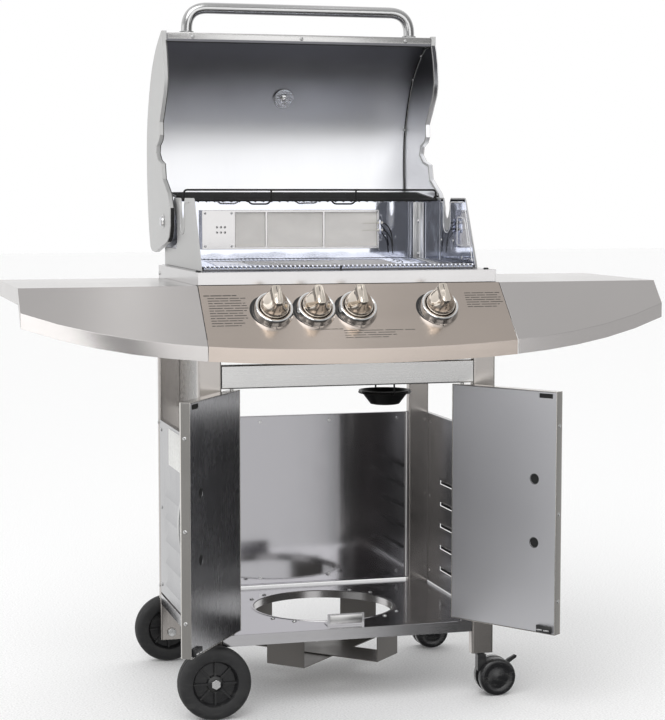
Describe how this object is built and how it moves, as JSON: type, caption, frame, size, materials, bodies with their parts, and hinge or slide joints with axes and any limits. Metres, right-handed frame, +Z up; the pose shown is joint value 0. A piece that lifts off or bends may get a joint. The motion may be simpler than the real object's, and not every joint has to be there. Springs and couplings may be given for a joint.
{
  "type": "gas barbecue grill",
  "caption": "Stainless gas barbecue grill with hinged lid, burners, grates, control knobs and two side shelves on a wheeled cart with a two-door gas bottle cabinet",
  "frame": {"origin": "on the floor under the middle of the grill's width and depth, lid and doors open", "axes": "+X to the right of a user facing the control panel, +Y to the rear, +Z up"},
  "size_m": [1.32, 0.7804, 1.449],
  "materials": {
    "brushed_panel": "brushed along its length",
    "dark_steel": "satin",
    "polished_steel": "polished",
    "cast_alloy": "fine satin",
    "black_plastic": "satin",
    "black_wire": "satin",
    "ceramic_tile": "matte",
    "brass": "satin"
  },
  "bodies": {
    "cart": {"leg_front_left": "brushed_panel", "leg_front_right": "brushed_panel", "leg_rear_left": "brushed_panel", "leg_rear_right": "brushed_panel", "front_beam": "brushed_panel", "side_plate_left": "brushed_panel", "bottom_shelf": "brushed_panel", "cradle_strap_lower": "brushed_panel", "cradle_strap_upper": "brushed_panel", "back_panel": "brushed_panel", "side_panel_left": "brushed_panel", "side_panel_right": "brushed_panel", "axle_bolt_front": "brushed_panel", "axle_bolt_rear": "brushed_panel", "firebox_rim": "brushed_panel", "firebox_wall_left": "cast_alloy", "firebox_wall_right": "cast_alloy", "firebox_back": "brushed_panel", "firebox_tray": "brushed_panel", "burner_left": "brushed_panel", "burner_middle": "brushed_panel", "burner_right": "brushed_panel", "heat_plate": "brushed_panel", "rear_burner_frame": "polished_steel", "rear_burner_tiles": "ceramic_tile", "cup_holder": "black_wire", "control_panel": "brushed_panel", "shelf_left": "brushed_panel", "shelf_right": "brushed_panel", "gas_manifold": "brass"},
    "lid": {"lid_skin": "brushed_panel", "lid_cap_left": "cast_alloy", "lid_cap_right": "cast_alloy", "lid_handle": "polished_steel", "lid_thermometer": "polished_steel"},
    "door_left": {"door_left_shell": "brushed_panel", "door_left_liner": "dark_steel", "door_left_handle": "polished_steel"},
    "door_right": {"door_right_shell": "brushed_panel", "door_right_liner": "dark_steel", "door_right_handle": "polished_steel"},
    "front_wheel": {"wheel_front": "black_plastic"},
    "rear_wheel": {"wheel_rear": "black_plastic"},
    "castor_front": {"castor_front_hood": "black_plastic"},
    "castor_front_roller": {"castor_front_wheels": "black_plastic"},
    "castor_front_lever": {"castor_front_brake": "black_plastic"},
    "castor_rear": {"castor_rear_hood": "black_plastic"},
    "castor_rear_roller": {"castor_rear_wheels": "black_plastic"},
    "grate_left": {"cooking_grate_left": "polished_steel"},
    "grate_right": {"cooking_grate_right": "polished_steel"},
    "rack": {"warming_rack": "black_wire"},
    "cup": {"grease_cup": "black_wire"},
    "stem_1": {"valve_stem_1": "brass"},
    "knob_1_body": {"knob_1": "polished_steel"},
    "stem_2": {"valve_stem_2": "brass"},
    "knob_2_body": {"knob_2": "polished_steel"},
    "stem_3": {"valve_stem_3": "brass"},
    "knob_3_body": {"knob_3": "polished_steel"},
    "stem_4": {"valve_stem_4": "brass"},
    "knob_4_body": {"knob_4": "polished_steel"}
  },
  "joints": [
    {"name": "lid_hinge", "type": "hinge", "parent": "cart", "child": "lid", "pos_m": [0, 0.19167, 0.981], "axis": [1, 0, 0], "range_deg": [0, 103]},
    {"name": "door_left_hinge", "type": "hinge", "parent": "cart", "child": "door_left", "pos_m": [-0.2413, -0.18508, 0.409], "axis": [0, 0, 1], "range_deg": [0, 124]},
    {"name": "door_right_hinge", "type": "hinge", "parent": "cart", "child": "door_right", "pos_m": [0.2413, -0.18508, 0.409], "axis": [0, 0, -1], "range_deg": [0, 124]},
    {"name": "front_wheel_spin", "type": "hinge", "parent": "cart", "child": "front_wheel", "pos_m": [-0.2865, -0.21733, 0.0735], "axis": [0, 1, 0], "continuous": true},
    {"name": "rear_wheel_spin", "type": "hinge", "parent": "cart", "child": "rear_wheel", "pos_m": [-0.2865, 0.28467, 0.0735], "axis": [0, 1, 0], "continuous": true},
    {"name": "castor_front_swivel", "type": "hinge", "parent": "cart", "child": "castor_front", "pos_m": [0.2865, -0.18233, 0.09], "axis": [0, 0, 1], "continuous": true},
    {"name": "castor_front_roll", "type": "hinge", "parent": "castor_front", "child": "castor_front_roller", "pos_m": [0.3175, -0.18233, 0.039], "axis": [0, 1, 0], "continuous": true},
    {"name": "castor_rear_swivel", "type": "hinge", "parent": "cart", "child": "castor_rear", "pos_m": [0.2865, 0.24967, 0.09], "axis": [0, 0, 1], "continuous": true},
    {"name": "castor_rear_roll", "type": "hinge", "parent": "castor_rear", "child": "castor_rear_roller", "pos_m": [0.3175, 0.24967, 0.039], "axis": [0, 1, 0], "continuous": true},
    {"name": "castor_front_brake_press", "type": "hinge", "parent": "castor_front", "child": "castor_front_lever", "pos_m": [0.3385, -0.18233, 0.064], "axis": [0, 1, 0], "range_deg": [0, 20]},
    {"name": "valve_1_turn", "type": "hinge", "parent": "cart", "child": "stem_1", "pos_m": [-0.17, -0.24033, 0.81002], "axis": [0, -0.7431, 0.6691], "range_deg": [0, 120]},
    {"name": "knob_1_push", "type": "slide", "parent": "stem_1", "child": "knob_1_body", "axis": [0, 0.7431, -0.6691], "range_m": [0, 0.0035], "stiffness_N_per_m": 500, "springref_m": -0.003},
    {"name": "valve_2_turn", "type": "hinge", "parent": "cart", "child": "stem_2", "pos_m": [-0.0845, -0.24033, 0.81002], "axis": [0, -0.7431, 0.6691], "range_deg": [0, 120]},
    {"name": "knob_2_push", "type": "slide", "parent": "stem_2", "child": "knob_2_body", "axis": [0, 0.7431, -0.6691], "range_m": [0, 0.0035], "stiffness_N_per_m": 500, "springref_m": -0.003},
    {"name": "valve_3_turn", "type": "hinge", "parent": "cart", "child": "stem_3", "pos_m": [0.001, -0.24033, 0.81002], "axis": [0, -0.7431, 0.6691], "range_deg": [0, 120]},
    {"name": "knob_3_push", "type": "slide", "parent": "stem_3", "child": "knob_3_body", "axis": [0, 0.7431, -0.6691], "range_m": [0, 0.0035], "stiffness_N_per_m": 500, "springref_m": -0.003},
    {"name": "valve_4_turn", "type": "hinge", "parent": "cart", "child": "stem_4", "pos_m": [0.171, -0.24033, 0.81002], "axis": [0, -0.7431, 0.6691], "range_deg": [0, 120]},
    {"name": "knob_4_push", "type": "slide", "parent": "stem_4", "child": "knob_4_body", "axis": [0, 0.7431, -0.6691], "range_m": [0, 0.0035], "stiffness_N_per_m": 500, "springref_m": -0.003},
    {"name": "grate_left_lift", "type": "slide", "parent": "cart", "child": "grate_left", "axis": [0, 0, 1], "range_m": [0, 0.08]},
    {"name": "grate_right_lift", "type": "slide", "parent": "cart", "child": "grate_right", "axis": [0, 0, 1], "range_m": [0, 0.08]},
    {"name": "rack_lift", "type": "slide", "parent": "cart", "child": "rack", "axis": [0, 0, 1], "range_m": [0, 0.06]},
    {"name": "cup_lift", "type": "slide", "parent": "cart", "child": "cup", "axis": [0, 0, 1], "range_m": [0, 0.05]}
  ]
}
